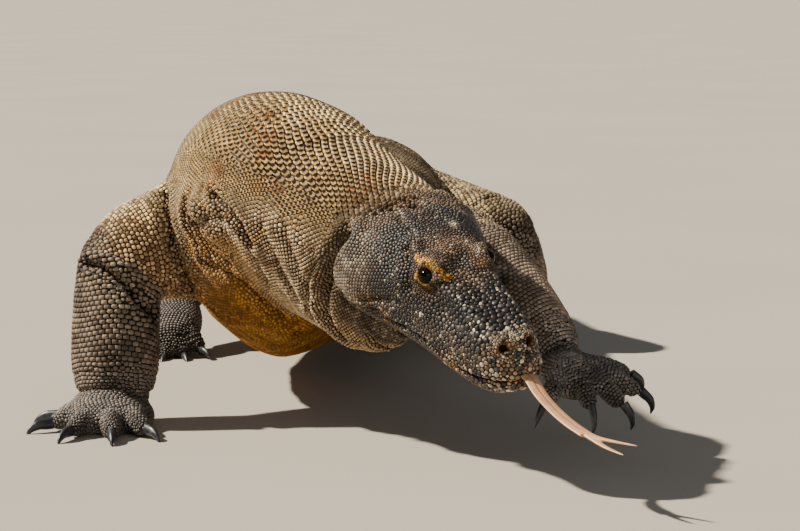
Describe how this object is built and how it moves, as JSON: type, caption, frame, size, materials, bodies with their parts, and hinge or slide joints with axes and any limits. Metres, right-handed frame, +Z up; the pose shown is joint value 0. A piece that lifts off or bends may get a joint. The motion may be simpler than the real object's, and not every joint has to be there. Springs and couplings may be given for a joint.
{
  "type": "komodo dragon",
  "caption": "Life-size still model of a Komodo dragon in mid stride: head lowered and turned, forked tongue out, left forefoot raised, long tail resting on the floor.",
  "frame": {"origin": "middle of the animal's box, on the floor it stands on", "axes": "+Z up, the animal walks towards -Y, its left side is +X and its tail lies towards +Y"},
  "size_m": [0.4992, 2.3002, 0.2715],
  "materials": {
    "skin_dark": "dark grey-brown beaded skin of the head",
    "skin_sand": "sandy brown beaded skin of neck, trunk and tail",
    "skin_limb": "grey-brown scaled skin of the limbs",
    "eye": "wet, dark brown with a black pupil",
    "claw": "blue-black worn horn",
    "tongue": "moist pinkish beige flesh"
  },
  "bodies": {
    "root": {"head": "skin_dark", "lower_jaw": "skin_dark", "eye_right": "eye", "eye_left": "eye", "tongue": "tongue", "neck": "skin_sand", "chest": "skin_sand", "belly": "skin_sand", "hips": "skin_sand", "tail_base": "skin_sand", "tail_middle": "skin_sand", "tail_tip": "skin_sand", "upper_arm_right": "skin_limb", "forearm_right": "skin_limb", "hand_right": "skin_limb", "claw_hand_right_1": "claw", "claw_hand_right_2": "claw", "claw_hand_right_3": "claw", "claw_hand_right_4": "claw", "claw_hand_right_5": "claw", "upper_arm_left": "skin_limb", "forearm_left": "skin_limb", "hand_left": "skin_limb", "claw_hand_left_1": "claw", "claw_hand_left_2": "claw", "claw_hand_left_3": "claw", "claw_hand_left_4": "claw", "claw_hand_left_5": "claw", "thigh_right": "skin_limb", "shank_right": "skin_limb", "foot_right": "skin_limb", "claw_foot_right_1": "claw", "claw_foot_right_2": "claw", "claw_foot_right_3": "claw", "claw_foot_right_4": "claw", "claw_foot_right_5": "claw", "thigh_left": "skin_limb", "shank_left": "skin_limb", "foot_left": "skin_limb", "claw_foot_left_1": "claw", "claw_foot_left_2": "claw", "claw_foot_left_3": "claw", "claw_foot_left_4": "claw", "claw_foot_left_5": "claw"}
  },
  "joints": []
}
